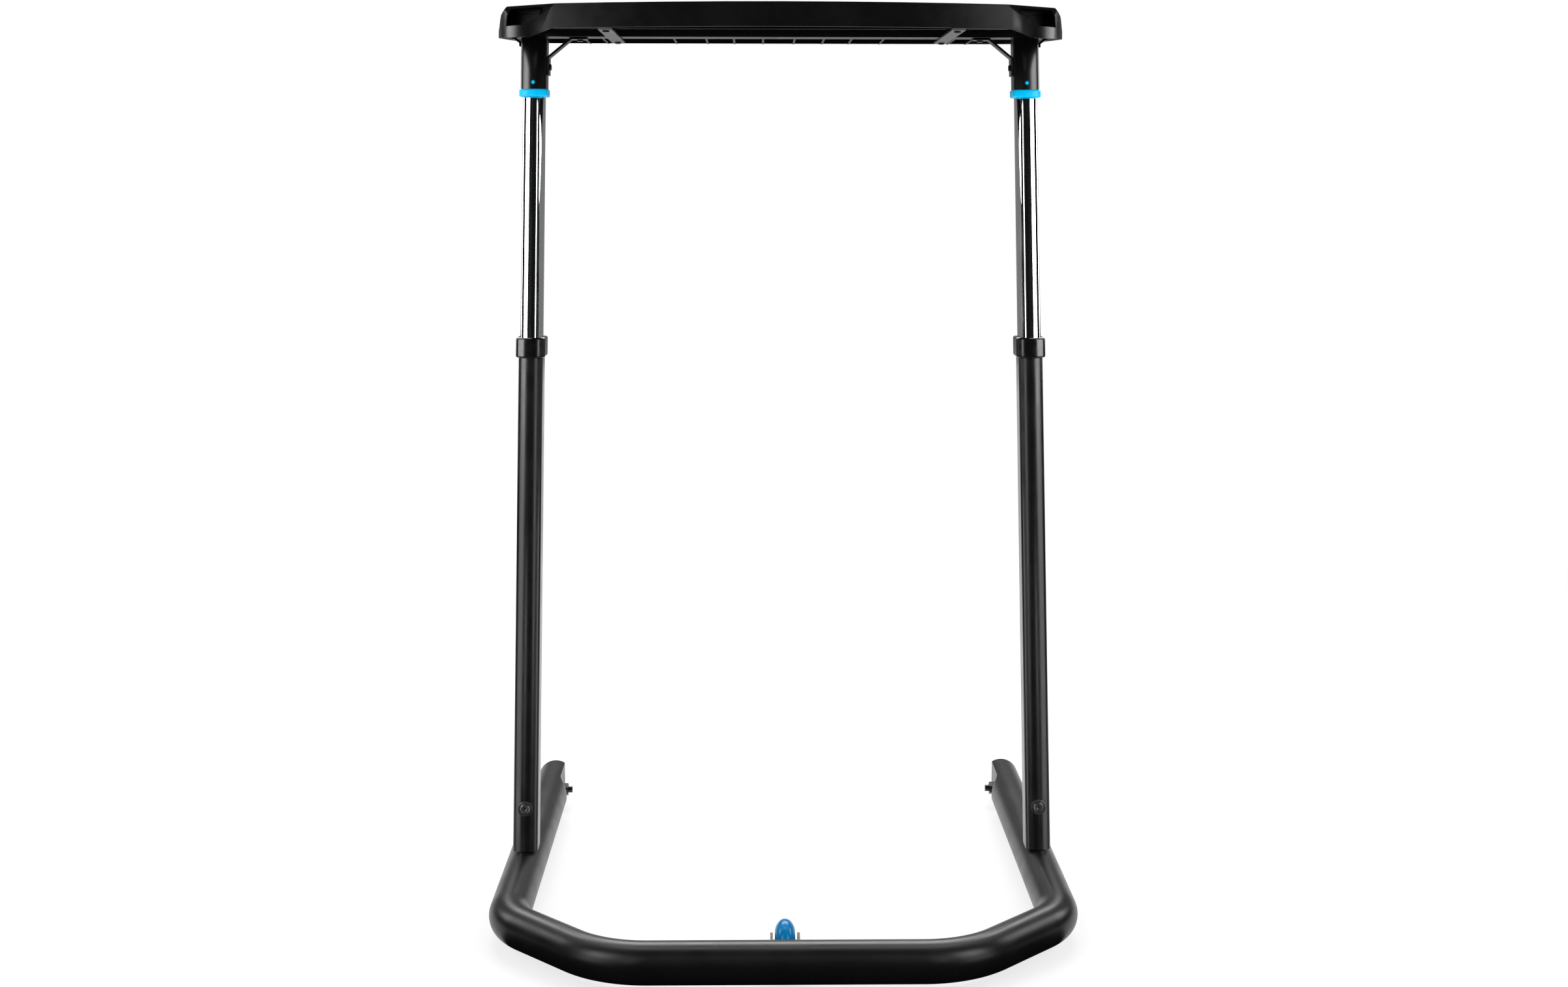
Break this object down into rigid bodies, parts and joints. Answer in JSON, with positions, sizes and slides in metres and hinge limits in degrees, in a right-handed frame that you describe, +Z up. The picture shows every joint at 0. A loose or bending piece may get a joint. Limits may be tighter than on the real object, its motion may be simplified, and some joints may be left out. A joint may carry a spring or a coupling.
{
  "type": "bike trainer desk",
  "caption": "Height-adjustable desk on two telescoping legs over a wheeled U-shaped tube base, for use over a bicycle on an indoor trainer.",
  "frame": {"origin": "middle of the bounding box's base, on the floor", "axes": "+Z up, +Y back toward the rider, +X to the right as seen from the front"},
  "size_m": [0.752, 0.876, 1.15],
  "materials": {
    "powder_coat": "satin black powder coat",
    "grey_steel": "mid-grey satin paint",
    "moulded_black": "matte black moulded plastic",
    "gloss_black": "gloss black plastic",
    "chrome": "polished chrome",
    "blue_plastic": "bright blue plastic",
    "blue_tyre": "glossy blue polyurethane",
    "black_rubber": "matte black rubber",
    "zinc": "zinc-plated steel",
    "black_oxide": "black oxide steel"
  },
  "bodies": {
    "base": {"base_frame": "powder_coat", "left_lower_leg": "powder_coat", "right_lower_leg": "powder_coat", "left_end_cap": "moulded_black", "right_end_cap": "moulded_black", "left_leg_collar": "gloss_black", "right_leg_collar": "gloss_black", "front_wheel_bracket": "zinc", "front_axle_nut": "zinc", "left_front_wheel_spacer": "zinc", "right_front_wheel_spacer": "zinc", "left_rear_axle_spacer": "zinc", "right_rear_axle_spacer": "zinc", "left_leg_nut": "zinc", "right_leg_nut": "zinc", "front_axle_bolt": "black_oxide", "left_rear_axle": "black_oxide", "right_rear_axle": "black_oxide", "left_rear_axle_nut": "black_oxide", "right_rear_axle_nut": "black_oxide", "left_leg_bolt": "black_oxide", "right_leg_bolt": "black_oxide", "left_leg_washer": "black_oxide", "right_leg_washer": "black_oxide"},
    "front_wheel": {"front_tyre": "blue_tyre", "front_hub": "moulded_black"},
    "left_rear_wheel": {"left_rear_tyre": "black_rubber", "left_rear_hub": "moulded_black"},
    "right_rear_wheel": {"right_rear_tyre": "black_rubber", "right_rear_hub": "moulded_black"},
    "desk": {"left_chrome_tube": "chrome", "right_chrome_tube": "chrome", "left_guide_plug": "moulded_black", "right_guide_plug": "moulded_black", "left_upper_sleeve": "powder_coat", "right_upper_sleeve": "powder_coat", "left_blue_ring": "blue_plastic", "right_blue_ring": "blue_plastic", "left_button_spring": "zinc", "right_button_spring": "zinc", "left_inner_brace": "powder_coat", "right_inner_brace": "powder_coat", "left_outer_gusset": "powder_coat", "right_outer_gusset": "powder_coat", "left_strap": "grey_steel", "right_strap": "grey_steel", "left_brace_screw": "black_oxide", "right_brace_screw": "black_oxide", "left_foot_screw": "black_oxide", "right_foot_screw": "black_oxide", "left_strap_screw_1": "black_oxide", "right_strap_screw_1": "black_oxide", "left_strap_screw_2": "black_oxide", "right_strap_screw_2": "black_oxide", "cross_beam": "powder_coat", "desk_tray": "moulded_black", "grip_mat": "black_rubber"},
    "left_button": {"left_snap_button": "blue_plastic"},
    "right_button": {"right_snap_button": "blue_plastic"}
  },
  "joints": [
    {"name": "desk_height", "type": "slide", "parent": "base", "child": "desk", "axis": [0, 0.2419, 0.9703], "range_m": [-0.32, 0.02]},
    {"name": "front_wheel_spin", "type": "hinge", "parent": "base", "child": "front_wheel", "pos_m": [0, -0.353, 0.03], "axis": [1, 0, 0], "continuous": true},
    {"name": "left_rear_wheel_spin", "type": "hinge", "parent": "base", "child": "left_rear_wheel", "pos_m": [-0.3425, 0.252, 0.026], "axis": [1, 0, 0], "continuous": true},
    {"name": "right_rear_wheel_spin", "type": "hinge", "parent": "base", "child": "right_rear_wheel", "pos_m": [0.3425, 0.252, 0.026], "axis": [1, 0, 0], "continuous": true},
    {"name": "left_button_press", "type": "slide", "parent": "desk", "child": "left_button", "axis": [0, 0.9703, -0.2419], "range_m": [0, 0.004], "stiffness_N_per_m": 1500, "springref_m": -0.002, "deforming": ["left_button_spring"]},
    {"name": "right_button_press", "type": "slide", "parent": "desk", "child": "right_button", "axis": [0, 0.9703, -0.2419], "range_m": [0, 0.004], "stiffness_N_per_m": 1500, "springref_m": -0.002, "deforming": ["right_button_spring"]}
  ]
}
